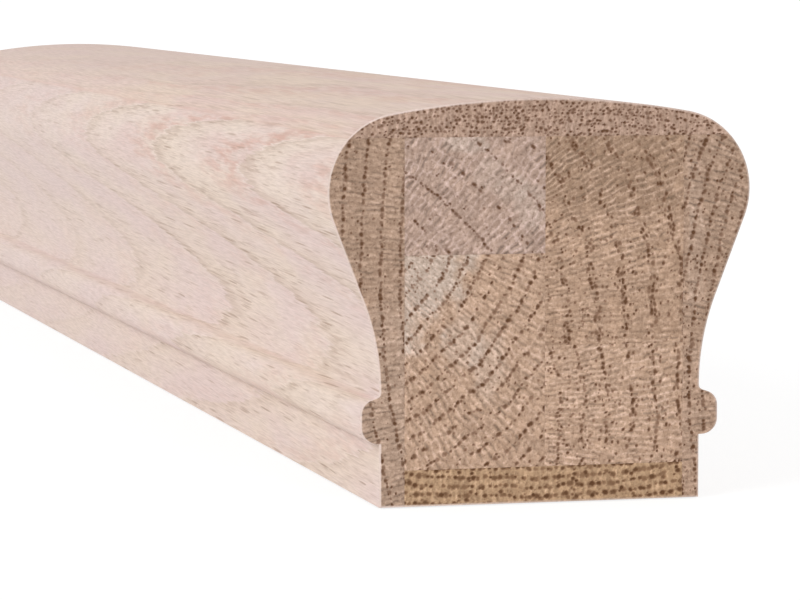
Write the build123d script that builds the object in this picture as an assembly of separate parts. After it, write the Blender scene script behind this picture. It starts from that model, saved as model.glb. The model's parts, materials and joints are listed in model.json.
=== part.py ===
from build123d import *

import os
from math import acos, asin, atan2, degrees, hypot, sqrt

# Short length of moulded oak handrail, sawn square at both ends. It is glued up from eight staves:
# a core of two columns of two staves, a strip under it, a facing on each side and a cap over them
# all. The section was moulded after gluing, so every outer stave carries its share of the outline.
# Millimetres, +Y along the rail away from the near end, +Z up, origin at the centre of the underside.

# Overall size
RAIL_LENGTH = 400.0
RAIL_WIDTH = 65.0
RAIL_HEIGHT = 60.0
BASE_WIDTH = 49.4

# Crowned top, rounded shoulders and the finger cove under each of them
CROWN_RADIUS = 128.5
SHOULDER_RADIUS = 11.8
COVE_RADIUS = 37.0
COVE_FOOT_HEIGHT = 17.1

# Bead that runs along each side below the cove. Its top slopes down from the wall to its shoulder.
BEAD_BOTTOM = 9.5
BEAD_SHOULDER = 15.4
BEAD_TOP = 16.4
BEAD_PROUD = 2.9
BEAD_FOOT_RADIUS = 0.8
BEAD_UPPER_RADIUS = 2.2
BEAD_LOWER_RADIUS = 2.4

# Glue lines, as places across the width and heights above the underside
LEFT_FACING_JOINT = -20.9
CORE_JOINT = 0.6
RIGHT_FACING_JOINT = 22.1
STRIP_JOINT = 5.4
RIGHT_COLUMN_JOINT = 23.4
LEFT_COLUMN_JOINT = 37.1
CAP_JOINT = 54.4


def flank_slope_and_length(shoulder, cove):
    """Lean in degrees and length of the straight flank that touches the shoulder and the cove.

    The two circles lie on opposite sides of it, so it is their inner common tangent.
    """
    across, down = cove[0] - shoulder[0], shoulder[1] - cove[1]
    apart = hypot(across, down)
    both = SHOULDER_RADIUS + COVE_RADIUS
    lean = degrees(atan2(down, across) - acos(both / apart))
    return lean, sqrt(apart**2 - both**2)


def right_outline():
    """Right half of the section, from the middle of the crown down to the middle of the underside.

    Each arc starts where the last piece ends and along its direction, so all of them are tangent.
    """
    wall = BASE_WIDTH / 2
    nose = wall + BEAD_PROUD
    shoulder_x = RAIL_WIDTH / 2 - SHOULDER_RADIUS
    inside = CROWN_RADIUS - SHOULDER_RADIUS
    crown_turn = degrees(asin(shoulder_x / inside))
    shoulder = (shoulder_x, RAIL_HEIGHT - CROWN_RADIUS + sqrt(inside**2 - shoulder_x**2))
    cove = (wall + COVE_RADIUS, COVE_FOOT_HEIGHT)
    lean, flank_length = flank_slope_and_length(shoulder, cove)
    bead_radii = [BEAD_FOOT_RADIUS, BEAD_UPPER_RADIUS, BEAD_LOWER_RADIUS]

    with BuildLine() as outline:
        crown = JernArc((0, RAIL_HEIGHT), (1, 0), CROWN_RADIUS, -crown_turn)
        rounded = JernArc(crown @ 1, crown % 1, SHOULDER_RADIUS, crown_turn - 90 - lean)
        flank = PolarLine(rounded @ 1, flank_length, direction=rounded % 1)
        JernArc(flank @ 1, flank % 1, COVE_RADIUS, lean)
        FilletPolyline(
            (wall, COVE_FOOT_HEIGHT),
            (wall, BEAD_TOP),
            (nose, BEAD_SHOULDER),
            (nose, BEAD_BOTTOM),
            (wall, BEAD_BOTTOM),
            radius=bead_radii,
        )
        Polyline((wall, BEAD_BOTTOM), (wall, 0), (0, 0))
    return outline.line


def moulded_section():
    """Full section of the rail, standing across its length."""
    half = right_outline()
    outline = half + mirror(half, about=Plane.YZ)
    return Plane.XZ * make_face(outline.edges())


def window(left, right, bottom, top):
    """Rectangle across the rail between two places in its width and two heights."""
    sheet = Rectangle(right - left, top - bottom)
    return Plane.XZ * Pos((left + right) / 2, (bottom + top) / 2) * sheet


def stave(section, left, right, bottom, top):
    """Part of the moulded section between its glue lines, run along the whole rail."""
    return extrude(section & window(left, right, bottom, top), amount=RAIL_LENGTH / 2, both=True)


def staves():
    """The eight staves by name; the outermost windows reach past the moulded outline."""
    section = moulded_section()
    far_left, far_right, over = -RAIL_WIDTH, RAIL_WIDTH, 2 * RAIL_HEIGHT
    left, middle, right = LEFT_FACING_JOINT, CORE_JOINT, RIGHT_FACING_JOINT
    windows = {
        "top_cap": (far_left, far_right, CAP_JOINT, over),
        "left_facing": (far_left, left, 0, CAP_JOINT),
        "right_facing": (right, far_right, 0, CAP_JOINT),
        "bottom_strip": (left, right, 0, STRIP_JOINT),
        "core_upper_left": (left, middle, LEFT_COLUMN_JOINT, CAP_JOINT),
        "core_lower_left": (left, middle, STRIP_JOINT, LEFT_COLUMN_JOINT),
        "core_upper_right": (middle, right, RIGHT_COLUMN_JOINT, CAP_JOINT),
        "core_lower_right": (middle, right, STRIP_JOINT, RIGHT_COLUMN_JOINT),
    }
    return {name: stave(section, *edges) for name, edges in windows.items()}


os.makedirs("parts", exist_ok=True)
for node, solid in staves().items():
    export_step(solid, f"parts/{node}.step")
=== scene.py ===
import json
from dataclasses import dataclass
from itertools import product
from math import acos, asin, atan2, ceil, cos, degrees, hypot, inf, pi, radians, sin, sqrt, tan
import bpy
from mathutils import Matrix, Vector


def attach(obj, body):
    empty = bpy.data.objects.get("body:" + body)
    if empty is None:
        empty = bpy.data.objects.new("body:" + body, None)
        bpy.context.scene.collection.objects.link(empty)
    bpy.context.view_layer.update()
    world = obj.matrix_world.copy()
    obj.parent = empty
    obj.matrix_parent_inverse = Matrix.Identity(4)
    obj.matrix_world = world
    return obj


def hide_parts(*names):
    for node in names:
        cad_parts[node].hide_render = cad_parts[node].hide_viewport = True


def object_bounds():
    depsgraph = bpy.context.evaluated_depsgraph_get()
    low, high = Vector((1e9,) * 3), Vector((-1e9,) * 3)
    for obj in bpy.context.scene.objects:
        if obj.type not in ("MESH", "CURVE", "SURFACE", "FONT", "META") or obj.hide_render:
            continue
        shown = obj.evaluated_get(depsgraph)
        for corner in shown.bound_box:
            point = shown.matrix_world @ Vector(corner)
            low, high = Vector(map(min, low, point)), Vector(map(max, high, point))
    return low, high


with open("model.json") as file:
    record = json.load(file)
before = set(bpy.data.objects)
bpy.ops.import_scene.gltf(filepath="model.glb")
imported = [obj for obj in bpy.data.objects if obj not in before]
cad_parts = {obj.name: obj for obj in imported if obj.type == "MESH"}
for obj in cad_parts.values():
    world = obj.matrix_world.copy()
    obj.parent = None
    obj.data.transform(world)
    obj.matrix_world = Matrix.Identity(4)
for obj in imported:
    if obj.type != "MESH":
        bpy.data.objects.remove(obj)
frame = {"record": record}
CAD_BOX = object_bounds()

from types import SimpleNamespace

import bmesh
import bpy
import numpy as np

# Short length of moulded oak handrail, glued up from eight staves and sawn square at both ends.
# The section lies in X (across) and Z (up), and Y runs along the rail away from the near end.
# Shapes are worked out in millimetres, and the meshes and the properties are in metres.

bl_info = {
    "name": "Oak handrail sample",
    "version": (1, 0, 0),
    "blender": (4, 5, 0),
    "location": "3D View > Sidebar > Handrail",
    "description": "Builds a moulded, glued-up length of oak handrail and a pale studio around it",
    "category": "Add Mesh",
}

MM = 0.001
CAD_WIDTH, CAD_LENGTH, CAD_HEIGHT = ((high - low) / MM for low, high in zip(*CAD_BOX))


@dataclass(frozen=True)
class Timber:
    """How one stave's board grew and where it was sawn from, with lengths in millimetres."""

    pith: tuple            # centre of the growth rings at the near end, across and up
    heart: tuple           # point of the stave from which places along a ring are counted
    pitch: float           # width of one year's ring
    phase: float           # shifts the rings towards the pith, in rings
    lean: tuple            # how far the pith shifts across and up over the rail's length
    wander: float          # waviness of the rings, in rings
    rows: int              # rows of pores that would fill a ring
    early_rows: float      # rows at the start of a ring that are crowded with large pores
    early_chance: float    # share of the places in those rows that hold a pore
    late_chance: float     # the same in the ring's other rows
    pore_gap: float        # distance between pores along a row
    pore_long: float       # half length of a pore along its row
    pore_deep: float       # half width of a pore across its row
    clumps: float          # how unevenly the pores gather along a row
    late_size: float = 0.6     # size of the pores in the other rows beside the large ones
    bold: tuple = ()           # numbers of the rings that keep their pores; the others lose most
    ray_gap: float = 0.85      # distance between the rays
    brick: float = 1.5         # length of the cells between two rays
    stagger: float = 3.7       # how far neighbouring courses may be out of step, in cells
    ray_light: float = 0.5     # strength of the pale rays and cell borders
    ray_dark: float = 0.5      # strength of the dark strokes inside the cells
    patches: tuple = ()        # (x, z, half width, half height, strength, corners) of each patch
    figure: float = 1.0        # strength of the ring bands on the planed faces
    face_tone_and_shade: tuple = (1.0, 1.0, 1.0)   # tone of the planed faces beside the plain colour; darkening here is painted shade


TIMBERS = {
    "top_cap": Timber(
        pith=(-10, -160), heart=(0, 57), pitch=1.55, phase=0.25, lean=(9, -3), wander=0.1,
        rows=3, early_rows=1.4, early_chance=0.85, late_chance=0.45, late_size=0.85,
        pore_gap=0.6, pore_long=0.27, pore_deep=0.23, clumps=0.7,
        # The cap makes the rail's top: its faces are toned a little pinker, and darker as painted
        # shade of the top.
        figure=0.6, face_tone_and_shade=(0.97, 0.925, 0.89),
    ),
    "left_facing": Timber(
        pith=(100, 35), heart=(-26, 30), pitch=3.0, phase=0.56, lean=(-16.65, 5), wander=0.025,
        rows=6, early_rows=1, early_chance=1.0, late_chance=0.05,
        pore_gap=0.62, pore_long=0.36, pore_deep=0.31, clumps=0.25,
        ray_gap=0.8, brick=2.6, ray_light=0.4, ray_dark=1.1,
        patches=(
            (-22, 12, 8, 26, 0.15, 2), (-27, 46, 13, 17, -0.4, 2), (-22.6, 46, 3.4, 8, 0.3, 2),
        ),
    ),
    "right_facing": Timber(
        pith=(117, 17), heart=(26, 30), pitch=2.3, phase=0.3, lean=(9, 7), wander=0.05,
        rows=4, early_rows=1, early_chance=1.0, late_chance=0.15,
        pore_gap=0.62, pore_long=0.34, pore_deep=0.33, clumps=0.3,
        ray_gap=0.8, brick=2.2, ray_light=0.4, ray_dark=1.2,
        patches=((24.0, 40, 1.5, 12, 0.5, 4), (30, 42, 10, 20, -0.4, 2)),
    ),
    "bottom_strip": Timber(
        pith=(0, 150), heart=(0.6, 2.7), pitch=1.38, phase=0.1, lean=(10, 3), wander=0.12,
        rows=3, early_rows=1, early_chance=1.0, late_chance=0.12, late_size=0.8,
        pore_gap=0.8, pore_long=0.47, pore_deep=0.4, clumps=0.15, ray_dark=0.3,
    ),
    "core_upper_left": Timber(
        pith=(-50, 3), heart=(-10, 46), pitch=4.95, phase=0.0, lean=(4, 4), wander=0.015,
        rows=11, early_rows=1, early_chance=0.95, late_chance=0.04, late_size=0.7, bold=(11, 13),
        pore_gap=0.6, pore_long=0.38, pore_deep=0.26, clumps=0.7,
        ray_gap=1.05, brick=1.9, stagger=0.25, ray_light=0.95, ray_dark=1.1,
        patches=(
            (-11.6, 53.6, 3.4, 1.7, 0.6, 2), (-8.0, 49.0, 2.4, 2.4, 0.3, 2),
            (-4.6, 46.8, 2.6, 2.2, 0.35, 2), (-1.4, 44.0, 3.0, 3.6, 0.4, 2),
        ),
    ),
    "core_lower_left": Timber(
        pith=(-40, 50), heart=(-10, 21), pitch=2.5, phase=0.3, lean=(5, 5), wander=0.09,
        rows=5, early_rows=1, early_chance=0.9, late_chance=0.06,
        pore_gap=0.62, pore_long=0.33, pore_deep=0.32, clumps=0.7,
        ray_gap=0.95, brick=1.9, ray_light=0.8, ray_dark=1.0,
        patches=(
            (-20.9, 37.1, 11.5, 14.0, 1.0, 1.2), (-12.0, 24, 3.5, 4.0, 0.4, 2),
            (-8.0, 21, 3.0, 5.0, 0.35, 2),
        ),
    ),
    "core_upper_right": Timber(
        pith=(-32, 27), heart=(11, 38), pitch=4.55, phase=0.17, lean=(4, 6), wander=0.06,
        rows=9, early_rows=2, early_chance=0.58, late_chance=0.12, late_size=0.7,
        pore_gap=0.6, pore_long=0.36, pore_deep=0.3, clumps=0.8, ray_light=0.8, ray_dark=1.0,
        patches=((10, 51, 13, 7.5, -1.0, 5),),
    ),
    "core_lower_right": Timber(
        pith=(-32, 13), heart=(11, 14), pitch=3.75, phase=0.71, lean=(5, 5), wander=0.08,
        rows=7, early_rows=1, early_chance=0.9, late_chance=0.17, late_size=0.75,
        pore_gap=0.65, pore_long=0.36, pore_deep=0.31, clumps=0.7,
        ray_gap=0.9, brick=1.4, ray_light=1.0, ray_dark=1.05,
    ),
}

# Each visible stave, with the CAD node that it stands for
PIECES = {
    "oak_cap_stave": "top_cap",
    "oak_left_facing_stave": "left_facing",
    "oak_right_facing_stave": "right_facing",
    "oak_bottom_strip_stave": "bottom_strip",
    "oak_core_stave_upper_left": "core_upper_left",
    "oak_core_stave_lower_left": "core_lower_left",
    "oak_core_stave_upper_right": "core_upper_right",
    "oak_core_stave_lower_right": "core_lower_right",
}

SLOTS = {part["node"]: part["material_slot"] for part in frame["record"]["subparts"]}

# Colour of the sawn end that each material slot takes, by its name in OakColours
END_COLOURS = {
    "cap_oak": "cap",
    "facing_oak": "facing",
    "strip_oak": "strip",
    "pale_core_oak": "pale_core",
    "pink_core_oak": "pink_core",
    "brown_core_oak": "brown_core",
}

# Grids. The long walls carry one point of a sawn end's edge in every COARSE.
COARSE = 4
FACING_COLUMNS = 16 * COARSE
CAP_STEP = 0.9                    # the cap's step beside the mesh step
BEAD_RISE = 0.03                  # lets the heights grow along the bead's flat underside too
WALL_STARTS = (0.25, 0.8, 2.0, 4.0, 8.0)   # first rings of the walls, from either end
MOULDED_STEP, CORE_STEP = 6.0, 24.0        # steps of the walls along the rail after those

# Relief of the sawn ends: how deep each of its causes presses them in, and over which distance
# from the outline or from a glue line
PORE_PIT, TORN_WOOD, RAY_RISE, EASED_EDGE, GLUE_HOLLOW = 0.1, 0.015, 0.01, 0.12, 0.03
EASED_WIDTH, GLUE_WIDTH, WALL_GLUE_WIDTH = 0.35, 0.22, 0.5
TORN_GRAIN = 0.33                 # size of the torn wood's lumps
SOUND_RIM = (0.1, 0.45)           # pores fade in between these distances from the outline
RIM_HIGHLIGHT_BAND = (0.34, 0.16)           # the eased edge's painted highlight, between these distances from it
SHARP_ANGLE = 40

# Seeds: the far end draws anew, and each effect has draws of its own after the pores' seven
FAR_SEED, RAY_SEED, PATCH_SEED, TORN_SEED = 20, 7, 12, 13
HASH_STEPS, HASH_GAIN = (127.1, 311.7, 74.7), 43758.5453

# Growth: the pith leans over LEAN_SPAN and sways about its line. The rings carry one bent wave and
# plain ones, each with its strength and its millimetres a radian along the ring, across the rings
# and along the rail.
LEAN_SPAN, SWAY, SWAY_TURNS = 400.0, 0.01, 1.6
BENT_WAVE, BENT_ACROSS, BEND, BEND_WAVE = 2.3, 4.0, 1.1, 4.7
RING_WAVES = ((0.4, 0.8, 1.0, inf), (0.5, 6.0, inf, 13.0), (0.8, 11.0, inf, 37.0))

# Values that a finish reads from the mesh: the ring count and the place along the ring, the depth
# of pores, pale rays and dark strokes, patches, nearness to a glue line and the painted highlight
# by the outline
FIELDS = ("ring", "place", "pore", "ray", "patch", "seam", "rim")


def place_prop(name, description, millimetres, lowest=-1.0):
    """Place that Blender keeps in metres, from a default in millimetres."""
    return bpy.props.FloatProperty(
        name=name, description=description, default=millimetres * MM,
        min=lowest, precision=5, unit="LENGTH",
    )


def length_prop(name, description, millimetres):
    return place_prop(name, description, millimetres, lowest=0.0)


def colour_prop(name, description, default):
    return bpy.props.FloatVectorProperty(
        name=name, description=description, default=default,
        subtype="COLOR", size=3, min=0.0, max=1.0,
    )


class RailSizes(bpy.types.PropertyGroup):
    """Section and length of the rail."""

    length: length_prop("Length", "Length of the rail", CAD_LENGTH)
    width: length_prop("Width", "Width over the shoulders", CAD_WIDTH)
    height: length_prop("Height", "Height from the underside to the crown", CAD_HEIGHT)
    base_width: length_prop("Base width", "Width of the flat underside", 49.4)
    crown_radius: length_prop("Crown radius", "Radius of the crowned top", 128.5)
    shoulder_radius: length_prop("Shoulder radius", "Radius of the rounded shoulders", 11.8)
    cove_radius: length_prop("Cove radius", "Radius of the finger coves", 37.0)
    cove_foot: length_prop("Cove foot", "Height at which the cove meets the upright wall", 17.1)
    bead_bottom: length_prop("Bead bottom", "Height of the bead's underside", 9.5)
    bead_shoulder: length_prop("Bead shoulder", "Height of the bead's upper corner", 15.4)
    bead_top: length_prop("Bead top", "Height at which the bead's slope meets the wall", 16.4)
    bead_proud: length_prop("Bead depth", "How far the bead stands out from the wall", 2.9)
    bead_foot_radius: length_prop("Bead foot", "Hollow between the wall and the bead", 0.8)
    bead_upper_radius: length_prop("Bead upper radius", "Rounding of the upper corner", 2.2)
    bead_lower_radius: length_prop("Bead lower radius", "Rounding of the lower corner", 2.4)
    left_joint: place_prop("Left glue line", "Left facing's joint across the rail", -20.9)
    core_joint: place_prop("Core glue line", "Joint between the core's two columns", 0.6)
    right_joint: place_prop("Right glue line", "Right facing's joint across the rail", 22.1)
    strip_joint: length_prop("Strip glue line", "Height of the joint over the strip", 5.4)
    right_column_joint: length_prop("Right column glue line", "Height of its joint", 23.4)
    left_column_joint: length_prop("Left column glue line", "Height of its joint", 37.1)
    cap_joint: length_prop("Cap glue line", "Height of the joint under the cap", 54.4)
    mesh_step: length_prop("Mesh step", "Distance between points of the sawn ends", 0.15)


class OakColours(bpy.types.PropertyGroup):
    """Colours of the sawn ends and of the planed faces."""

    cap: colour_prop("Cap end", "End grain of the cap", (0.435, 0.295, 0.222))
    facing: colour_prop("Facing end", "End grain of the facings", (0.437, 0.297, 0.214))
    strip: colour_prop("Strip end", "End grain of the bottom strip", (0.45, 0.295, 0.178))
    pale_core: colour_prop(
        "Pale core end", "End grain of the upper left core stave", (0.45, 0.318, 0.253)
    )
    pink_core: colour_prop(
        "Pink core end", "End grain of the lower core staves", (0.495, 0.335, 0.237)
    )
    brown_core: colour_prop(
        "Brown core end", "End grain of the upper right core stave", (0.45, 0.3, 0.208)
    )
    pore: colour_prop("Pores", "Dark inside of the open pores", (0.095, 0.038, 0.013))
    patch: colour_prop("Pale patches", "Bleached patches of the ends", (0.565, 0.47, 0.405))
    side: colour_prop("Planed faces", "Planed long faces", (0.8, 0.671, 0.622))
    blush: colour_prop("Pink grain", "Reddish late wood of the faces", (0.655, 0.40, 0.325))
    cream: colour_prop("Cream grain", "Yellowish early wood of the faces", (0.78, 0.645, 0.54))
    streak: colour_prop("Pore streaks", "Pores cut lengthwise", (0.415, 0.275, 0.20))


def in_millimetres(sizes):
    """The rail's sizes as plain numbers in millimetres."""
    names = RailSizes.__annotations__
    return SimpleNamespace(**{name: getattr(sizes, name) / MM for name in names})


def whole_steps(length, step):
    """Number of steps of about the given size over a length, a multiple of COARSE."""
    return COARSE * ceil(length / (COARSE * step))


def line(start, end, step):
    """Even points of a line, without its last one."""
    count = whole_steps(hypot(end[0] - start[0], end[1] - start[1]), step)
    t = np.arange(count) / count
    return np.column_stack([a + (b - a) * t for a, b in zip(start, end)])


def arc(centre, radius, first, last, step):
    """Even points of an arc between two angles in degrees, without its last one."""
    turn = radians(last - first)
    count = whole_steps(abs(turn) * radius, min(step, radius / 8))
    angle = radians(first) + turn * np.arange(count) / count
    return np.column_stack([centre[0] + radius * np.cos(angle), centre[1] + radius * np.sin(angle)])


def polar(centre, radius, angle):
    """Point at an angle in radians round a centre."""
    return centre[0] + radius * cos(angle), centre[1] + radius * sin(angle)


def outline(rail, step):
    """Right half of the outline from the underside up to the middle of the crown.

    Two rows of points along lines and tangent arcs, parted at the cap's glue line. Each arc's
    centre follows from the arcs it touches: the shoulder from the crown, the flank as the inner
    common tangent of the shoulder and the cove, and the bead's roundings from the corners that
    they soften.
    """
    wall, nose = rail.base_width / 2, rail.base_width / 2 + rail.bead_proud
    shoulder_x = rail.width / 2 - rail.shoulder_radius
    inside = rail.crown_radius - rail.shoulder_radius
    middle = (0, rail.height - rail.crown_radius)
    shoulder = (shoulder_x, middle[1] + sqrt(inside**2 - shoulder_x**2))
    crown_end = 90 - degrees(asin(shoulder_x / inside))
    cove = (wall + rail.cove_radius, rail.cove_foot)
    across, down = cove[0] - shoulder[0], shoulder[1] - cove[1]
    both = rail.shoulder_radius + rail.cove_radius
    lean = atan2(down, across) - acos(both / hypot(across, down))
    flank_foot = polar(cove, rail.cove_radius, pi - lean)
    flank_head = polar(shoulder, rail.shoulder_radius, -lean)
    lean = degrees(lean)
    cut = asin((rail.cap_joint - shoulder[1]) / rail.shoulder_radius)
    tip = (polar(shoulder, rail.shoulder_radius, cut)[0], rail.cap_joint)
    cut = degrees(cut)

    slope = atan2(rail.bead_proud, rail.bead_top - rail.bead_shoulder)
    upper_cut = rail.bead_upper_radius * tan(slope / 2)
    foot_cut = rail.bead_foot_radius * tan(slope / 2)
    upper = (nose - rail.bead_upper_radius, rail.bead_shoulder - upper_cut)
    foot = (wall + rail.bead_foot_radius, rail.bead_top + foot_cut)
    lower = (nose - rail.bead_lower_radius, rail.bead_bottom + rail.bead_lower_radius)
    slope_low = polar(upper, rail.bead_upper_radius, slope)
    slope_high = polar(foot, rail.bead_foot_radius, slope - pi)
    slope = degrees(slope)
    facing = [
        line((wall, 0), (wall, rail.bead_bottom - BEAD_RISE), step),
        line((wall, rail.bead_bottom - BEAD_RISE), (lower[0], rail.bead_bottom), step),
        arc(lower, rail.bead_lower_radius, -90, 0, step),
        line((nose, lower[1]), (nose, upper[1]), step),
        arc(upper, rail.bead_upper_radius, 0, slope, step),
        line(slope_low, slope_high, step),
        arc(foot, rail.bead_foot_radius, slope - 180, -180, step),
        line((wall, foot[1]), (wall, rail.cove_foot), step),
        arc(cove, rail.cove_radius, 180, 180 - lean, step),
        line(flank_foot, flank_head, step),
        arc(shoulder, rail.shoulder_radius, -lean, cut, step),
    ]
    crown = [
        arc(shoulder, rail.shoulder_radius, cut, crown_end, step),
        arc(middle, rail.crown_radius, crown_end, 90, step),
    ]
    return np.vstack([*facing, tip]), np.vstack([*crown, (0, rail.height)])


def facing_face(rail, side):
    """Grid over a facing's end, with each point's distance from the outline and from a glue line.

    There is a level row for each point of the outline. It runs at that point's height, and x is
    shared out evenly from the upright glue line to the point.
    """
    edge, _ = outline(rail, rail.mesh_step)
    joint = rail.right_joint if side > 0 else -rail.left_joint
    t = np.linspace(0, 1, FACING_COLUMNS + 1)[:, None]
    x = joint + (edge[:, 0] - joint) * t
    z = np.broadcast_to(edge[:, 1], x.shape)
    rim = np.minimum(edge[:, 0] - x, z)
    seam = np.minimum(x - joint, rail.cap_joint - z)
    return side * x, z, rim, seam


def cap_face(rail):
    """Grid over the cap's end, with the same distances.

    There is an upright row for each point of the crown. x stays the point's, and z is shared out
    evenly from the level glue line to the point. The rows shrink to nothing at both tips.
    """
    _, half = outline(rail, rail.mesh_step * CAP_STEP)
    edge = np.vstack([half * (-1, 1), half[-2::-1]])
    rows = whole_steps(rail.height - rail.cap_joint, rail.mesh_step)
    x = np.broadcast_to(edge[:, :1], (len(edge), rows + 1))
    z = rail.cap_joint + (edge[:, 1:] - rail.cap_joint) * np.linspace(0, 1, rows + 1)
    return x, z, edge[:, 1:] - z, z - rail.cap_joint


def block_face(rail, left, right, bottom, top):
    """Even grid over a rectangular stave's end, with the same distances.

    Only the underside of the rail is an outer edge, so the distance from the outline is z.
    """
    columns = whole_steps(right - left, rail.mesh_step)
    rows = whole_steps(top - bottom, rail.mesh_step)
    across, up = np.linspace(left, right, columns + 1), np.linspace(bottom, top, rows + 1)
    x, z = np.meshgrid(across, up, indexing="ij")
    seam = np.minimum(np.minimum(x - left, right - x), top - z)
    return x, z, z, seam if bottom == 0 else np.minimum(seam, z - bottom)


def hash01(i, j, seed):
    """Number from 0 to 1 for each pair of whole numbers: the fraction left of a large sine."""
    v = np.sin(i * HASH_STEPS[0] + j * HASH_STEPS[1] + seed * HASH_STEPS[2]) * HASH_GAIN
    return v - np.floor(v)


def smoothstep(low, high, value):
    """0 up to low, 1 from high and 3 t² - 2 t³ between them. With low over high it falls."""
    t = np.clip((value - low) / (high - low), 0, 1)
    return t * t * (3 - 2 * t)


def soft_noise(x, y, seed):
    """Smooth noise from 0 to 1: random values on a lattice, blended by smoothstep between them."""
    i, j = np.floor(x), np.floor(y)
    u, v = smoothstep(0, 1, x - i), smoothstep(0, 1, y - j)
    low = hash01(i, j, seed) * (1 - u) + hash01(i + 1, j, seed) * u
    high = hash01(i, j + 1, seed) * (1 - u) + hash01(i + 1, j + 1, seed) * u
    return low * (1 - v) + high * v


def growth(timber, x, y, z, near):
    """Ring count and place along the ring, in millimetres, of each point.

    The ring count is the distance from the pith divided by the ring's width, and low waves run
    round the rings. The place is the angle round the pith, counted from the heart, times the
    heart's distance. The pith leans away from the rail's own line and sways a little.
    """
    along = (y - near) / LEAN_SPAN
    sway = SWAY * np.sin(2 * pi * along * SWAY_TURNS)
    dx = x - (timber.pith[0] + timber.lean[0] * (along + sway))
    dz = z - (timber.pith[1] + timber.lean[1] * (along - sway))
    heart_x, heart_z = timber.heart[0] - timber.pith[0], timber.heart[1] - timber.pith[1]
    reach, ahead = hypot(heart_x, heart_z), atan2(heart_z, heart_x)
    forward, sideways = dx * cos(ahead) + dz * sin(ahead), dz * cos(ahead) - dx * sin(ahead)
    place, radius = reach * np.arctan2(sideways, forward), np.hypot(dx, dz)
    waves = np.sin(place / BENT_WAVE + radius / BENT_ACROSS + BEND * np.sin(place / BEND_WAVE))
    for strength, round_ring, across, lengthwise in RING_WAVES:
        waves += strength * np.sin(place / round_ring + radius / across + y / lengthwise)
    return radius / timber.pitch + timber.phase + timber.wander * waves, place


def pore_depth(timber, ring, place, seed):
    """Open pores from 0 to 1: one may lie, jittered, in each cell of a grid along the rings.

    The cells at a ring's start hold a pore more often, and a larger one. A pore is an oval with a
    ragged rim, longer along the ring. Its depth is a smooth step of the distance from its centre,
    counted in half axes, and the deepest of the pores around a point counts.
    """
    notch, clump, ring_apart = 0.24, 3.0, 3.7
    early_jitter, jitter, lost = 0.6, 0.95, 0.3
    across, along = ring * timber.rows, place / timber.pore_gap
    row = timber.pitch / timber.rows
    ragged = 0.8 + 0.5 * soft_noise(across * row / notch, place / notch, seed + 6)
    depth = np.zeros_like(ring)
    for step_across, step_along in product((-1, 0, 1), repeat=2):
        i, j = np.floor(across) + step_across, np.floor(along) + step_along
        number, early = np.floor(i / timber.rows), np.mod(i, timber.rows) < timber.early_rows
        ci = i + 0.5 + np.where(early, early_jitter, jitter) * (hash01(i, j, seed) - 0.5)
        cj = j + 0.5 + jitter * (hash01(i, j, seed + 1) - 0.5)
        gather = soft_noise(j / clump, number * ring_apart, seed + 2)
        chance = np.where(early, timber.early_chance, timber.late_chance)
        chance = chance * (1 + timber.clumps * (2.2 * gather - 1.1))
        if timber.bold:
            chance = chance * np.where(np.isin(number, timber.bold), 1, lost)
        size = (0.6 + 0.75 * hash01(i, j, seed + 3)) * np.where(early, 1, timber.late_size)
        away = ragged * np.hypot(
            (across - ci) * row / (timber.pore_deep * size),
            (along - cj) * timber.pore_gap / (timber.pore_long * size),
        )
        here = hash01(i, j, seed + 4) < chance
        deep = 0.55 + 0.45 * hash01(i, j, seed + 5)
        depth = np.maximum(depth, here * deep * smoothstep(1.15, 0.45, away))
    return depth


def ray_lines(timber, ring, place, seed):
    """Rays and the cells between them, from -1 in a dark stroke to 1 in a pale line.

    The rays are lines of even place along the ring, bent by noise. Between two of them the wood is
    parted like courses of brick, and each brick is darker or paler by chance. Distances from a
    ray's or a brick's border are counted in courses and bricks.
    """
    across = ring * timber.pitch
    bend = soft_noise(across / 3.1, place / 3.7, seed)
    bend = bend + 0.4 * soft_noise(across / 0.8, place / 0.9, seed + 1)
    turns = place / timber.ray_gap + 0.9 * bend
    course = np.floor(turns)
    joint = across / timber.brick + timber.stagger * hash01(course, 0, seed + 2)
    brick = np.floor(joint)
    to_ray = 0.5 - np.abs(turns - course - 0.5)
    to_joint = 0.5 - np.abs(joint - brick - 0.5)
    kept = hash01(course, brick, seed + 3)
    shown = 0.4 * min(timber.stagger, 1)   # courses in step show more of their cell borders
    ray = smoothstep(0.2, 0.05, to_ray) * smoothstep(0.1, 0.6, kept)
    cross = 0.7 * smoothstep(0.2, 0.04, to_joint) * smoothstep(shown, shown + 0.5, kept)
    stroke = smoothstep(0.27, 0.43, to_ray) * smoothstep(0.03, 0.12, to_joint)
    stroke = stroke * smoothstep(0.1, 0.9, hash01(course, brick, seed + 4))
    fade = 0.45 + 0.85 * soft_noise(across / 4.5, place / 5.0, seed + 5)
    return fade * (timber.ray_light * np.maximum(ray, cross) - timber.ray_dark * stroke)


def patch_level(timber, x, z, seed):
    """Pale (above 0) and dark (below 0) patches with a ragged rim.

    Corners is the power that joins the distances across and up: 1 gives a diamond, 2 an oval and
    more than that a rounded rectangle.
    """
    level = np.zeros_like(x)
    ragged = soft_noise(x / 2.1, z / 2.1, seed) + 0.5 * soft_noise(x / 0.7, z / 0.7, seed + 1)
    for px, pz, wide, high, strength, corners in timber.patches:
        across, up = np.abs(x - px) / wide, np.abs(z - pz) / high
        away = (across**corners + up**corners) ** (1 / corners) + 0.45 * (ragged - 0.75)
        level += strength * smoothstep(1.2, 0.7, away)
    return level


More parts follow.
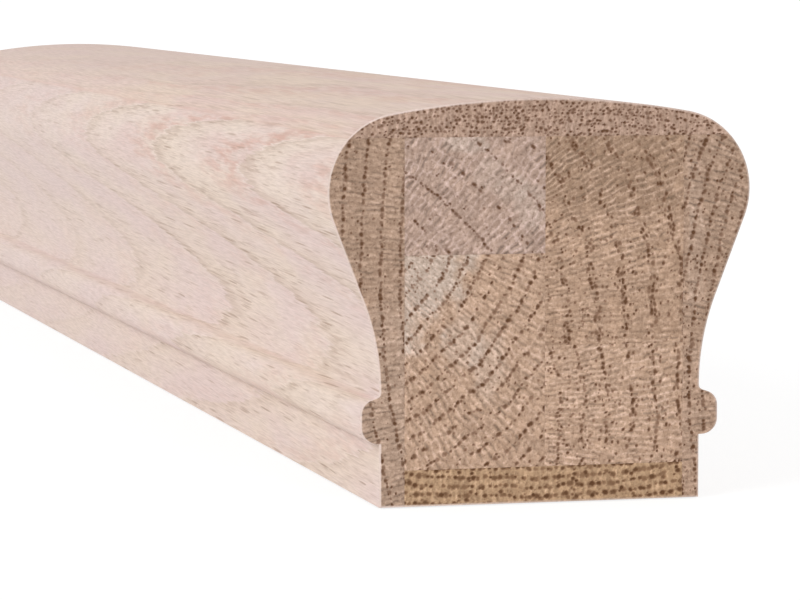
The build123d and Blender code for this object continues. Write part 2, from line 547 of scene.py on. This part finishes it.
def sawn_points(timber, face, side, half, seed):
    """Points of one sawn end and their fields.

    The end lies across the rail at side times half its length. Each point is pressed in towards
    the rail's middle by the sum of its pores, torn wood, eased edge and glue line, less its rays.
    """
    x, z, rim, seam = face
    ring, place = growth(timber, x, np.full_like(x, side * half), z, -half)
    draw = seed + FAR_SEED * (side > 0)
    pores = pore_depth(timber, ring, place, draw) * smoothstep(*SOUND_RIM, rim)
    rays = ray_lines(timber, ring, place, draw + RAY_SEED)
    patches = patch_level(timber, x, z, draw + PATCH_SEED) * (side < 0)
    torn = soft_noise(x / TORN_GRAIN, z / TORN_GRAIN, draw + TORN_SEED)
    eased, glue = smoothstep(EASED_WIDTH, 0, rim), smoothstep(GLUE_WIDTH, 0, seam)
    sink = PORE_PIT * pores + TORN_WOOD * torn - RAY_RISE * rays
    sink = np.maximum(sink + EASED_EDGE * eased + GLUE_HOLLOW * glue, 0)
    points = np.column_stack([x, side * (half - sink), z])
    return points, (ring, place, pores, rays, patches, glue, smoothstep(*RIM_HIGHLIGHT_BAND, rim))


def wall_points(timber, edge, half, step):
    """Points of the long walls and their fields, as rings round the rail.

    The rings repeat the edge's points at places along the rail, close together near both ends and
    then at even steps, which stop at least half a step short of the rail's middle.
    """
    x, z, _, seam = edge
    even = np.arange(WALL_STARTS[-1], half - step / 2, step)
    starts = np.concatenate([WALL_STARTS[:-1], even])
    wall_x, wall_y = np.meshgrid(x, np.concatenate([starts - half, half - starts[::-1]]))
    wall_z = np.broadcast_to(z, wall_x.shape)
    points = np.column_stack([wall_x.ravel(), wall_y.ravel(), wall_z.ravel()])
    ring, place = growth(timber, *points.T, -half)
    glue = np.broadcast_to(smoothstep(WALL_GLUE_WIDTH, 0, seam), wall_x.shape).ravel()
    empty = np.zeros_like(ring)
    return points, (ring, place, empty, empty, empty, glue, empty)


def stave_faces(shape, loop, wall_count):
    """Faces of a stave as point numbers, and which of them are planed.

    Both ends are four-sided cells of the grid, and so are the walls. A collar of seven-sided faces
    joins each end, with a point in COARSE of its edge to a point of the wall.
    """
    index = np.arange(shape[0] * shape[1]).reshape(shape)
    corners = index[:-1, :-1], index[1:, :-1], index[1:, 1:], index[:-1, 1:]
    cells = np.stack(corners, -1).reshape(-1, 4)
    around = len(loop) // COARSE
    wall = index.size + np.arange(wall_count).reshape(-1, around)
    after = np.roll(wall, -1, axis=1)
    walls = np.stack([wall[:-1], wall[1:], after[1:], after[:-1]], -1).reshape(-1, 4)
    far = index.size + wall_count
    spans = np.stack([np.roll(loop, -k)[::COARSE] for k in range(COARSE + 1)], -1)
    near_collar = np.column_stack([spans[:, 0], wall[0], after[0], spans[:, :0:-1]])
    far_collar = np.column_stack([wall[-1], spans + far, after[-1]])
    planed = walls.tolist() + near_collar.tolist() + far_collar.tolist()
    faces = cells.tolist() + planed + (cells[:, ::-1] + far).tolist()
    kinds = np.zeros(len(faces), dtype=np.int32)
    kinds[len(cells): len(cells) + len(planed)] = 1
    return faces, kinds


def stave_mesh(name, face, timber, length, seed, wall_step):
    """Closed stave: two sawn ends in relief on one grid, joined by walls along the rail.

    face is the grid over the end, with its distances. The walls carry the grid's edge along the
    rail, and the cap's tips, where the grid shrinks to a point, are merged.
    """
    half = length / 2
    x, z = face[:2]
    if np.sum((x[1:, :-1] - x[:-1, :-1]) * (z[:-1, 1:] - z[:-1, :-1])) < 0:
        face = [values[::-1] for values in face]
    shape = x.shape
    face = [values.ravel() for values in face]
    index = np.arange(x.size).reshape(shape)
    loop = np.concatenate([index[:, 0], index[-1, 1:], index[-2::-1, -1], index[0, -2:0:-1]])
    edge = [values[loop[::COARSE]] for values in face]

    near, near_fields = sawn_points(timber, face, -1, half, seed)
    wall, wall_fields = wall_points(timber, edge, half, wall_step)
    far, far_fields = sawn_points(timber, face, 1, half, seed)
    faces, kinds = stave_faces(shape, loop, len(wall))
    mesh = bpy.data.meshes.new(name)
    mesh.from_pydata((np.vstack([near, wall, far]) * MM).tolist(), [], faces)
    mesh.polygons.foreach_set("material_index", kinds)
    for field, *parts in zip(FIELDS, near_fields, wall_fields, far_fields):
        values = np.concatenate(parts).astype(np.float32)
        mesh.attributes.new(field, "FLOAT", "POINT").data.foreach_set("value", values)
    tips = bmesh.new()
    tips.from_mesh(mesh)
    bmesh.ops.remove_doubles(tips, verts=tips.verts, dist=1e-7)
    tips.to_mesh(mesh)
    tips.free()
    mesh.polygons.foreach_set("use_smooth", np.ones(len(mesh.polygons), dtype=bool))
    mesh.set_sharp_from_angle(angle=radians(SHARP_ANGLE))
    mesh.update()
    return mesh


def place_stave(context, name, face, seed, wall_step=MOULDED_STEP):
    """Adds the stave for its CAD node, with its finish and its body."""
    scene = context.scene
    node = PIECES[name]
    slot, timber = SLOTS[node], TIMBERS[node]
    length = in_millimetres(scene.rail_sizes).length
    mesh = stave_mesh(name, face, timber, length, seed, wall_step)
    piece = bpy.data.objects.new(name, mesh)
    scene.collection.objects.link(piece)
    colours = scene.oak_colours
    end = getattr(colours, END_COLOURS[slot])
    mesh.materials.append(sawn_end(f"{name}_sawn", end, timber, colours))
    mesh.materials.append(planed_face(f"{name}_planed", timber, colours))
    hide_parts(node)
    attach(piece, "root")


class Net:
    """Node tree being wired. Each method adds nodes and returns what they put out."""

    def __init__(self, tree):
        self.tree = tree
        tree.nodes.clear()

    def add(self, kind, values=(), **settings):
        """Node of a kind with its settings; values maps a socket to a number, colour or output."""
        node = self.tree.nodes.new(kind)
        for key, value in settings.items():
            setattr(node, key, value)
        for socket, value in dict(values).items():
            if isinstance(value, bpy.types.NodeSocket):
                self.tree.links.new(value, node.inputs[socket])
            else:
                node.inputs[socket].default_value = value
        return node

    def math(self, operation, a, b=0.0, **settings):
        return self.add("ShaderNodeMath", {0: a, 1: b}, operation=operation, **settings).outputs[0]

    def times(self, value, *others):
        """Product of two or more values."""
        for other in others:
            value = self.math("MULTIPLY", value, other)
        return value

    def scaled(self, value, gain, shift=0.0):
        values = {0: value, 1: gain, 2: shift}
        return self.add("ShaderNodeMath", values, operation="MULTIPLY_ADD").outputs[0]

    def step(self, value, low, high, at_low=0.0, at_high=1.0):
        """Smooth step of the value from at_low at one limit to at_high at the other."""
        if low > high:
            low, high, at_low, at_high = high, low, at_high, at_low
        limits = {"From Min": low, "From Max": high, "To Min": at_low, "To Max": at_high}
        values = {"Value": value, **limits}
        return self.add("ShaderNodeMapRange", values, interpolation_type="SMOOTHSTEP").outputs[0]

    def attribute(self, name):
        return self.add("ShaderNodeAttribute", attribute_name=name).outputs["Fac"]

    def mix(self, factor, a, b, blend="MIX"):
        values = {0: factor, 6: a, 7: b}
        return self.add("ShaderNodeMix", values, data_type="RGBA", blend_type=blend).outputs[2]

    def layer(self, under, over, mask, strength):
        """Lays a colour over another by a mask; a negative strength, where the mask is below 0."""
        return self.mix(self.math("MULTIPLY", mask, strength, use_clamp=True), under, over)

    def vector(self, x, y, z=0.0):
        return self.add("ShaderNodeCombineXYZ", {0: x, 1: y, 2: z}).outputs[0]

    def noise(self, places, scales, detail, roughness):
        """Noise from 0 to 1 over up to three coordinates, each with its own scale."""
        where = self.vector(*(self.scaled(place, scale) for place, scale in zip(places, scales)))
        values = {"Vector": where, "Scale": 1.0, "Detail": detail, "Roughness": roughness}
        return self.add("ShaderNodeTexNoise", values).outputs["Fac"]

    def cells(self, where):
        """Distance from the nearest cell's centre, and three random numbers of that cell."""
        values = {"Vector": where, "Scale": 1.0, "Randomness": 1.0}
        cell = self.add("ShaderNodeTexVoronoi", values, feature="F1").outputs
        return cell["Distance"], self.add("ShaderNodeSeparateColor", {0: cell["Color"]}).outputs

    def millimetres(self):
        """Object coordinates in millimetres, as x, y and z."""
        place = self.add("ShaderNodeTexCoord").outputs["Object"]
        values = {0: place, "Scale": 1 / MM}
        large = self.add("ShaderNodeVectorMath", values, operation="SCALE").outputs[0]
        return tuple(self.add("ShaderNodeSeparateXYZ", {0: large}).outputs)

    def shared(self, name, values):
        """Outputs of the shared node group of that name, placed with its own values."""
        return self.add("ShaderNodeGroup", values, node_tree=node_group(name)).outputs


def wire_rings(net, given):
    """Early and late wood: bands of the ring count's fraction, ragged along the grain."""
    _, y, _ = net.millimetres()
    ragged = net.noise((net.attribute("place"), y), (1.6, 0.045), 4.0, 0.65)
    jag = net.times(net.math("SUBTRACT", ragged, 0.5), given["Raggedness"])
    ring = net.math("ADD", net.attribute("ring"), jag)
    fraction, number = net.math("FRACT", ring), net.math("FLOOR", ring)
    early = net.times(net.step(fraction, 0.7, 0.05), net.step(fraction, 0.0, 0.03))
    border = net.times(net.step(fraction, 0.17, 0.05), net.step(fraction, 0.0, 0.02))
    late = net.times(net.step(fraction, 0.35, 0.85), net.step(fraction, 1.0, 0.96))
    tone = net.add("ShaderNodeTexWhiteNoise", {"W": number}, noise_dimensions="1D")
    return early, border, late, tone.outputs["Value"]


def wire_streaks(net, given):
    """Open pores cut lengthwise: stretched cells along the rail, of which a share is kept."""
    _, y, _ = net.millimetres()
    across = net.times(net.attribute("ring"), given["Ring width"])
    where = net.vector(
        net.math("DIVIDE", across, given["Width"]),
        net.math("DIVIDE", net.attribute("place"), given["Width"]),
        net.math("DIVIDE", y, given["Length"]),
    )
    distance, draw = net.cells(where)
    kept = net.math("LESS_THAN", draw[0], given["Chance"])
    dark = net.scaled(draw[1], 0.6, 0.4)
    return (net.times(net.step(distance, 0.45, 0.18), dark, kept),)


def wire_fibres(net, given):
    """Fine fibres, broad clouds, mottling and wavy lines: noise stretched along the rail."""
    x, y, z = net.millimetres()
    across = net.times(net.attribute("ring"), given["Ring width"])
    grain = across, net.attribute("place"), y
    fine = net.noise(grain, (4.2, 4.2, 0.1), 3.0, 0.6)
    broad = net.noise((x, y, z), (0.12, 0.022, 0.12), 3.0, 0.55)
    mottle = net.noise(grain, (0.7, 0.7, 0.09), 3.0, 0.6)
    waver = net.noise(grain, (1.5, 1.5, 0.035), 3.0, 0.6)
    return fine, broad, mottle, net.step(waver, 0.46, 0.34)


def wire_sawn(net, given):
    """Torn fibres of a sawn end: two sizes of noise, and scales of random tone with gaps."""
    x, y, z = net.millimetres()
    small = net.noise((x, y, z), (1.9, 0.5, 1.9), 4.0, 0.7)
    large = net.noise((x, y, z), (0.3, 0.05, 0.3), 3.0, 0.55)
    across = net.times(net.attribute("ring"), given["Ring width"])
    where = net.vector(
        net.math("ADD", net.scaled(across, 0.85), net.scaled(small, 1.1)),
        net.math("ADD", net.scaled(net.attribute("place"), 1.7), net.scaled(small, -1.4)),
        net.scaled(y, 0.2),
    )
    distance, draw = net.cells(where)
    return small, large, draw[0], net.step(distance, 0.35, 0.75)


# Shared node groups: how each is wired, its inputs with their defaults, and its outputs
GROUPS = {
    "Oak rings": (
        wire_rings, {"Raggedness": 0.3}, ("Early wood", "Ring border", "Late wood", "Ring tone"),
    ),
    "Oak pore streaks": (
        wire_streaks, {"Ring width": 3.0, "Width": 0.5, "Length": 8.0, "Chance": 0.5}, ("Streaks",),
    ),
    "Oak fibres": (wire_fibres, {"Ring width": 3.0}, ("Fine", "Broad", "Mottle", "Lines")),
    "Sawn oak": (wire_sawn, {"Ring width": 3.0}, ("Small", "Large", "Scale", "Gap")),
}


def node_group(name):
    """Shared node group with float inputs and outputs, built when it is first asked for."""
    tree = bpy.data.node_groups.get(name)
    if tree:
        return tree
    wire, inputs, outputs = GROUPS[name]
    tree = bpy.data.node_groups.new(name, "ShaderNodeTree")
    net = Net(tree)
    kind = "NodeSocketFloat"
    for label, default in inputs.items():
        socket = tree.interface.new_socket(label, in_out="INPUT", socket_type=kind)
        socket.default_value = default
    for label in outputs:
        tree.interface.new_socket(label, in_out="OUTPUT", socket_type=kind)
    results = wire(net, net.add("NodeGroupInput").outputs)
    net.add("NodeGroupOutput", dict(zip(outputs, results)))
    return tree


def tint(colour, gain=1.0):
    """The colour times one gain, or one for each channel, as a node socket takes it."""
    gains = gain if isinstance(gain, tuple) else (gain,) * 3
    return (*(min(1.0, channel * g) for channel, g in zip(colour, gains)), 1.0)


def new_material(name):
    """Empty material and the net of its nodes."""
    material = bpy.data.materials.new(name)
    material.use_nodes = True
    return material, Net(material.node_tree)


def wooden_surface(net, colour, roughness, height, depth):
    """Surface of bare wood from a colour, a roughness and the height of its bump in metres."""
    bump = net.add("ShaderNodeBump", {"Height": height, "Distance": depth, "Strength": 1.0})
    values = {"Base Color": colour, "Roughness": roughness, "Specular IOR Level": 0.25}
    shader = net.add("ShaderNodeBsdfPrincipled", {**values, "Normal": bump.outputs[0]})
    net.add("ShaderNodeOutputMaterial", {"Surface": shader.outputs[0]})


def sawn_end(name, colour, timber, colours):
    """End grain: ring tones, rays, patches and pores from the mesh, and torn fibres from noise.
    Shade is painted round the pores and where the torn fibres sink, and highlight where they rise
    and along the eased edge.
    """
    material, net = new_material(name)
    rings = net.shared("Oak rings", {"Raggedness": 0.05})
    sawn = net.shared("Sawn oak", {"Ring width": timber.pitch})
    ray, patch, pore = net.attribute("ray"), net.attribute("patch"), net.attribute("pore")
    shadow, pore_shade = tint(colour, (0.7, 0.685, 0.655)), tint(colour, (0.46, 0.37, 0.32))
    pale_ray, dark_ray = tint(colour, (1.38, 1.46, 1.62)), tint(colour, 0.5)

    wood = net.mix(net.step(sawn["Large"], 0.3, 0.7), tint(colour, 0.93), tint(colour, 1.07))
    wood = net.layer(wood, tint(colour, 0.8), rings["Early wood"], strength=0.2)
    wood = net.layer(wood, tint(colours.patch), patch, strength=0.75)
    wood = net.layer(wood, shadow, patch, strength=-0.8)
    wood = net.layer(wood, pale_ray, ray, strength=0.75)
    wood = net.layer(wood, dark_ray, ray, strength=-0.7)

    dull_scale, bright_scale = (0.87, 0.855, 0.84, 1), (1.14, 1.14, 1.15, 1)
    scale = net.mix(sawn["Scale"], dull_scale, bright_scale)
    scale = net.layer(scale, (0.6, 0.56, 0.52, 1), sawn["Gap"], strength=0.45)
    wood = net.mix(1.0, wood, scale, "MULTIPLY")
    # Torn fibres' speckle: painted shade where their bump sinks and painted highlight where it
    # rises.
    grit_shade, plain, grit_highlight = (0.55, 0.5, 0.46, 1), (1, 1, 1, 1), (1.32, 1.36, 1.42, 1)
    grit_light_and_shade = net.mix(net.step(sawn["Small"], 0.3, 0.5), grit_shade, plain)
    grit_light_and_shade = net.mix(net.step(sawn["Small"], 0.5, 0.7), grit_light_and_shade, grit_highlight)
    wood = net.mix(1.0, wood, grit_light_and_shade, "MULTIPLY")

    wood = net.layer(wood, tint(colour, 0.55), net.attribute("seam"), strength=0.1)
    # Painted highlight on the eased edge: a pale line of the planed faces' colour along the
    # outline, stronger on the left, where the light comes from.
    rim_highlight = net.step(net.millimetres()[0], 5.0, -20.0, 0.35, 0.7)
    wood = net.layer(wood, tint(colours.side), net.attribute("rim"), strength=rim_highlight)
    # Painted shade round each pore's rim, then the dark inside of the pores.
    wood = net.mix(net.step(pore, 0.0, 0.4, 0.0, 0.65), wood, pore_shade)
    wood = net.mix(net.step(pore, 0.35, 1.0, 0.0, 0.95), wood, tint(colours.pore))
    height = net.math("SUBTRACT", sawn["Small"], net.times(pore, 0.5))
    wooden_surface(net, wood, 0.8, height, depth=0.06 * MM)
    return material


def planed_face(name, timber, colours):
    """Planed long grain: rings as bands, pores as streaks and fine fibres, all along the rail.

    The figure is strong near the near end and fades along the rail, and the faces are painted
    darker towards the far end, as shade where the light falls off. The pink late wood and its
    clouds lie on the shoulders and the top, and the rings' dark borders fade towards the bead.
    """
    material, net = new_material(name)
    _, y, z = net.millimetres()
    fade = net.step(y, -110.0, 80.0, timber.figure, 0.4 * timber.figure)
    upper, above_bead = net.step(z, 34.0, 52.0, 0.35, 1.0), net.step(z, 12.0, 26.0, 0.5, 1.0)
    rings = net.shared("Oak rings", {"Raggedness": 0.4})
    early, border = rings["Early wood"], rings["Ring border"]
    fibres = net.shared("Oak fibres", {"Ring width": timber.pitch})
    fine, broad = fibres["Fine"], fibres["Broad"]

    def streaks(width, length, chance):
        values = {"Ring width": timber.pitch, "Width": width, "Length": length, "Chance": chance}
        return net.shared("Oak pore streaks", values)["Streaks"]

    crowd = net.math("ADD", net.scaled(early, 0.3, 0.05), net.times(border, 0.55))
    large_pores = streaks(0.5, 34.0, crowd)
    small_pores = streaks(0.33, 22.0, net.scaled(early, 0.3, 0.2))
    side, blush, cream = (
        tint(plain, timber.face_tone_and_shade) for plain in (colours.side, colours.blush, colours.cream)
    )
    streak = tint(colours.streak)
    lilac, warm = tint(side, (0.985, 0.975, 1.0)), tint(side, (1.01, 1.01, 0.95))

    wood = net.mix(net.step(broad, 0.35, 0.65), lilac, warm)
    # Painted shade: darker towards the far end, standing in for the light falling off along the
    # rail.
    wood = net.mix(net.step(y, -120.0, 120.0, 0.0, 0.5), wood, tint(lilac, 0.93))
    pink = net.times(rings["Late wood"], net.step(rings["Ring tone"], 0.0, 1.0, 0.6, 0.85))
    pink = net.times(pink, net.step(fibres["Mottle"], 0.35, 0.65, 0.2, 1.0))
    pink = net.math("MAXIMUM", pink, net.step(broad, 0.52, 0.38, 0.0, 0.3))
    wood = net.mix(net.times(pink, upper, fade), wood, blush)
    wood = net.mix(net.times(early, 0.6, fade), wood, cream)
    dark = net.times(fibres["Lines"], net.scaled(early, 0.4, 0.08))
    dark = net.math("MAXIMUM", dark, net.times(border, 0.26))
    wood = net.mix(net.times(dark, above_bead, fade), wood, streak)

    dull, bright = (0.88, 0.86, 0.84, 1), (1.05, 1.05, 1.05, 1)
    wood = net.mix(1.0, wood, net.mix(net.step(fine, 0.3, 0.7), dull, bright), "MULTIPLY")
    cut = net.math("MAXIMUM", net.times(small_pores, 0.4), net.times(large_pores, 0.75))
    wood = net.mix(net.times(cut, fade), wood, streak)
    wood = net.layer(wood, tint(colours.blush), net.attribute("seam"), strength=0.22)
    height = net.math("SUBTRACT", net.times(fine, 0.4), large_pores)
    wooden_surface(net, wood, net.scaled(fine, 0.15, 0.5), height, depth=0.05 * MM)
    return material


def add_camera(scene):
    """Camera at the photograph's viewing angle, with a long lens."""
    focal_pixels, photo_width, sensor = 3900, 800, 36
    data = bpy.data.cameras.new("photo_camera")
    data.sensor_width = sensor
    data.lens = focal_pixels / photo_width * sensor
    data.clip_end = 50
    camera = bpy.data.objects.new("photo_camera", data)
    camera.location = (-0.1644, -0.75125, 0.0798)
    camera.rotation_euler = [radians(turn) for turn in (85.06587, -0.02349, -14.52067)]
    scene.collection.objects.link(camera)
    scene.camera = camera


def add_room(scene):
    """World that lights the rail evenly from all sides and shows the camera plain white."""
    world = bpy.data.worlds.new("pale_room")
    world.use_nodes = True
    net = Net(world.node_tree)
    light = net.add("ShaderNodeBackground", {"Color": (1, 1, 1, 1), "Strength": 0.66})
    seen = net.add("ShaderNodeBackground", {"Color": (1, 1, 1, 1), "Strength": 1.0})
    camera_ray = net.add("ShaderNodeLightPath").outputs["Is Camera Ray"]
    values = {0: camera_ray, 1: light.outputs[0], 2: seen.outputs[0]}
    net.add("ShaderNodeOutputWorld", {0: net.add("ShaderNodeMixShader", values).outputs[0]})
    scene.world = world


def add_floor(scene):
    """Floor that keeps the rail's shadow. The camera also sees it glow, so that it is white."""
    reach, drop, glowing = 14.0, 0.0002, 0.7
    mesh = bpy.data.meshes.new("pale_floor")
    corners = [(-reach, -reach), (reach, -reach), (reach, reach), (-reach, reach)]
    mesh.from_pydata([(x, y, -drop) for x, y in corners], [], [(0, 1, 2, 3)])
    material, net = new_material("pale_floor")
    cover = net.add("ShaderNodeBsdfDiffuse", {"Color": (0.9, 0.9, 0.9, 1)})
    glow = net.add("ShaderNodeEmission", {"Strength": 1.12})
    share = net.times(net.add("ShaderNodeLightPath").outputs["Is Camera Ray"], glowing)
    values = {0: share, 1: cover.outputs[0], 2: glow.outputs[0]}
    net.add("ShaderNodeOutputMaterial", {0: net.add("ShaderNodeMixShader", values).outputs[0]})
    mesh.materials.append(material)
    floor = bpy.data.objects.new("pale_floor", mesh)
    scene.collection.objects.link(floor)


def add_softbox(scene, name, turn, strength):
    """Wide, soft light from far away, turned by three angles in degrees."""
    lamp = bpy.data.lights.new(name, "SUN")
    lamp.energy = strength
    lamp.angle = radians(25)
    holder = bpy.data.objects.new(name, lamp)
    holder.rotation_euler = [radians(angle) for angle in turn]
    scene.collection.objects.link(holder)


class HANDRAIL_OT_cap(bpy.types.Operator):
    """Add the moulded cap stave"""

    bl_idname = "handrail.cap"
    bl_label = "Cap"

    def execute(self, context):
        rail = in_millimetres(context.scene.rail_sizes)
        place_stave(context, "oak_cap_stave", cap_face(rail), seed=1)
        return {"FINISHED"}


class HANDRAIL_OT_facings(bpy.types.Operator):
    """Add the facings with shoulder, cove and bead on both sides"""

    bl_idname = "handrail.facings"
    bl_label = "Facings"

    def execute(self, context):
        rail = in_millimetres(context.scene.rail_sizes)
        place_stave(context, "oak_left_facing_stave", facing_face(rail, -1), seed=2)
        place_stave(context, "oak_right_facing_stave", facing_face(rail, 1), seed=3)
        return {"FINISHED"}


class HANDRAIL_OT_core(bpy.types.Operator):
    """Add the bottom strip and the four staves of the core"""

    bl_idname = "handrail.core"
    bl_label = "Core and strip"

    def execute(self, context):
        rail = in_millimetres(context.scene.rail_sizes)
        left, middle, right = rail.left_joint, rail.core_joint, rail.right_joint
        strip, cap = rail.strip_joint, rail.cap_joint
        windows = {
            "oak_bottom_strip_stave": (left, right, 0, strip),
            "oak_core_stave_upper_left": (left, middle, rail.left_column_joint, cap),
            "oak_core_stave_lower_left": (left, middle, strip, rail.left_column_joint),
            "oak_core_stave_upper_right": (middle, right, rail.right_column_joint, cap),
            "oak_core_stave_lower_right": (middle, right, strip, rail.right_column_joint),
        }
        for seed, (name, window) in enumerate(windows.items(), 4):
            place_stave(context, name, block_face(rail, *window), seed, CORE_STEP)
        return {"FINISHED"}


class HANDRAIL_OT_studio(bpy.types.Operator):
    """Add the pale floor, the soft lights and the camera"""

    bl_idname = "handrail.studio"
    bl_label = "Studio"

    def execute(self, context):
        scene = context.scene
        scene.view_settings.view_transform = "Standard"
        add_camera(scene)
        add_room(scene)
        add_floor(scene)
        add_softbox(scene, "left_softbox", turn=(62, 0, -58), strength=1.28)
        add_softbox(scene, "front_softbox", turn=(62, 0, 15), strength=0.7)
        return {"FINISHED"}


class HANDRAIL_PT_sidebar(bpy.types.Panel):
    bl_label = "Oak handrail"
    bl_idname = "HANDRAIL_PT_sidebar"
    bl_space_type = "VIEW_3D"
    bl_region_type = "UI"
    bl_category = "Handrail"

    def draw(self, context):
        for settings in (context.scene.rail_sizes, context.scene.oak_colours):
            column = self.layout.column(align=True)
            for name in type(settings).__annotations__:
                column.prop(settings, name)
        for name in ("handrail.cap", "handrail.facings", "handrail.core", "handrail.studio"):
            self.layout.operator(name)


CLASSES = (
    RailSizes,
    OakColours,
    HANDRAIL_OT_cap,
    HANDRAIL_OT_facings,
    HANDRAIL_OT_core,
    HANDRAIL_OT_studio,
    HANDRAIL_PT_sidebar,
)


def register():
    for cls in CLASSES:
        bpy.utils.register_class(cls)
    bpy.types.Scene.rail_sizes = bpy.props.PointerProperty(type=RailSizes)
    bpy.types.Scene.oak_colours = bpy.props.PointerProperty(type=OakColours)


def unregister():
    del bpy.types.Scene.oak_colours
    del bpy.types.Scene.rail_sizes
    for cls in reversed(CLASSES):
        bpy.utils.unregister_class(cls)


def main():
    register()
    bpy.ops.handrail.studio()
    bpy.ops.handrail.cap()
    bpy.ops.handrail.facings()
    bpy.ops.handrail.core()


if __name__ == "__main__":
    main()
